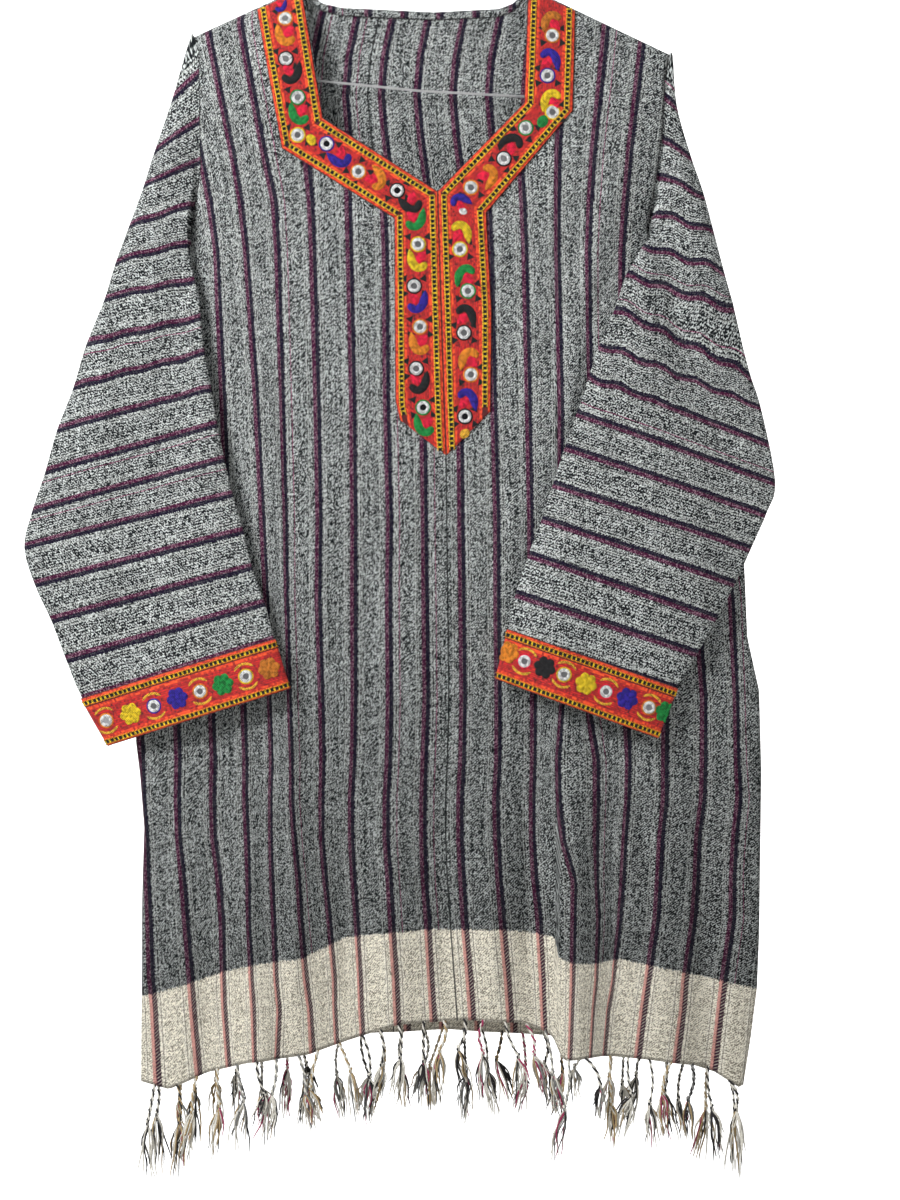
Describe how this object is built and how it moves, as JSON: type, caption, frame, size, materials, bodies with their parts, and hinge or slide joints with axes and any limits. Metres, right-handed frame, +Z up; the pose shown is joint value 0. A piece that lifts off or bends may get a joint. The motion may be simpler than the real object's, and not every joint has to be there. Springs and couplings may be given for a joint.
{
  "type": "striped fringed kurta tunic on a wire hanger",
  "caption": "Striped cotton kurta tunic with mirror-work braid at neck, placket and cuffs and a knotted fringe, hung flat on a wire hanger.",
  "frame": {"origin": "inside top of the hanger's hook, where a rod holds it", "axes": "+Z up, -Y the garment's front, +X to the viewer's right"},
  "size_m": [0.694, 0.0891, 1.2429],
  "materials": {
    "striped_cotton": "matt black and white handloom twill with plum and navy stripes",
    "red_braid": "red braid with embroidery and small round mirrors",
    "fringe_cotton": "matt twisted cotton",
    "hanger_wire": "satin"
  },
  "bodies": {
    "root": {"front_panel": "striped_cotton", "back_panel": "striped_cotton", "sleeve_left": "striped_cotton", "sleeve_right": "striped_cotton", "braid_shoulder_left": "red_braid", "braid_diagonal_left": "red_braid", "braid_placket_left": "red_braid", "braid_shoulder_right": "red_braid", "braid_diagonal_right": "red_braid", "braid_placket_right": "red_braid", "cuff_braid_left": "red_braid", "cuff_braid_right": "red_braid", "fringe_front": "fringe_cotton", "fringe_back": "fringe_cotton", "wire_hanger": "hanger_wire"}
  },
  "joints": []
}
